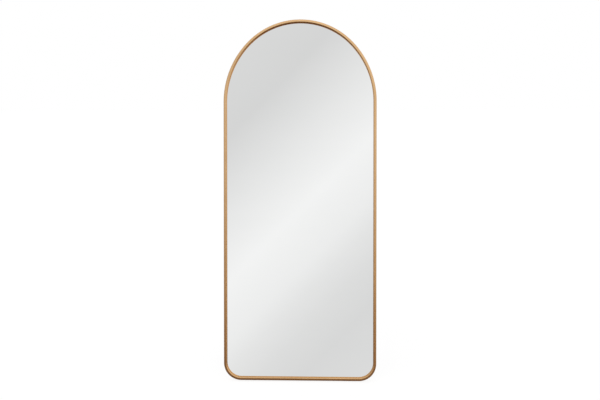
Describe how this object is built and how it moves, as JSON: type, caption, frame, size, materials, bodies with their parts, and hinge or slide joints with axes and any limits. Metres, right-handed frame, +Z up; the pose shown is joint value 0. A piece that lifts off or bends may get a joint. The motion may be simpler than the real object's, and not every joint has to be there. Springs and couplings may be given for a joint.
{
  "type": "leaning floor mirror",
  "caption": "Full-length leaning floor mirror with an arched top, a thin bronze-gold metal frame with rounded bottom corners, and a fold-flat rear stand.",
  "frame": {"origin": "on the floor, at the middle of the footprint of the mirror and its open stand", "axes": "+X to the viewer's right, -Y towards the viewer in front of the mirror, +Z up"},
  "size_m": [0.762, 0.337, 1.7879],
  "materials": {
    "bronze_frame": "satin bronze-gold anodised aluminium",
    "plain_aluminium": "mill finish",
    "mirror_glass": "silvered clear glass",
    "black_rubber": "matte black rubber",
    "film": "grey adhesive film",
    "brown_card": "matte corrugated cardboard",
    "black_board": "matte black faced fibreboard",
    "clear_silicone": "satin translucent silicone",
    "nylon": "satin nylon",
    "bronze_stand": "satin bronze powder coat on steel",
    "zinc_steel": "satin zinc-plated steel"
  },
  "bodies": {
    "mirror": {"frame_hoop": "bronze_frame", "frame_base": "bronze_frame", "splice_key_right": "plain_aluminium", "splice_key_left": "plain_aluminium", "splice_screws": "zinc_steel", "glazing_gasket": "black_rubber", "mirror_glass": "mirror_glass", "safety_film": "film", "cardboard_sheet": "brown_card", "backing_board": "black_board", "setting_blocks": "black_rubber", "edge_spacers": "black_rubber", "retaining_clips": "zinc_steel", "clip_screws": "zinc_steel", "upper_brace": "zinc_steel", "hinge_rail": "zinc_steel", "lower_brace": "zinc_steel", "brace_screws": "zinc_steel", "hinge_bracket_right": "zinc_steel", "hinge_bracket_left": "zinc_steel", "bracket_rivets": "zinc_steel", "hinge_pin_right": "zinc_steel", "hinge_pin_left": "zinc_steel", "hinge_nut_right": "zinc_steel", "hinge_nut_left": "zinc_steel", "hinge_washers": "nylon", "hanger_strap_right": "zinc_steel", "hanger_strap_left": "zinc_steel", "hanger_rivets": "zinc_steel", "floor_foot_right": "clear_silicone", "floor_foot_left": "clear_silicone"},
    "stand": {"stand_tube": "bronze_stand", "stand_lug_right": "zinc_steel", "stand_lug_left": "zinc_steel", "stand_sleeve_right": "black_rubber", "stand_sleeve_left": "black_rubber"},
    "ring_right": {"hanger_ring_right": "zinc_steel"},
    "ring_left": {"hanger_ring_left": "zinc_steel"}
  },
  "joints": [
    {"name": "stand_fold", "type": "hinge", "parent": "mirror", "child": "stand", "pos_m": [0, 0.01868, 0.98954], "axis": [-1, 0, 0], "range_deg": [0, 16]},
    {"name": "ring_swing_right", "type": "hinge", "parent": "mirror", "child": "ring_right", "pos_m": [0.25, 0.0579, 1.33645], "axis": [1, 0, 0], "range_deg": [-30, 160]},
    {"name": "ring_swing_left", "type": "hinge", "parent": "mirror", "child": "ring_left", "pos_m": [-0.25, 0.0579, 1.33645], "axis": [1, 0, 0], "range_deg": [-30, 160]}
  ]
}
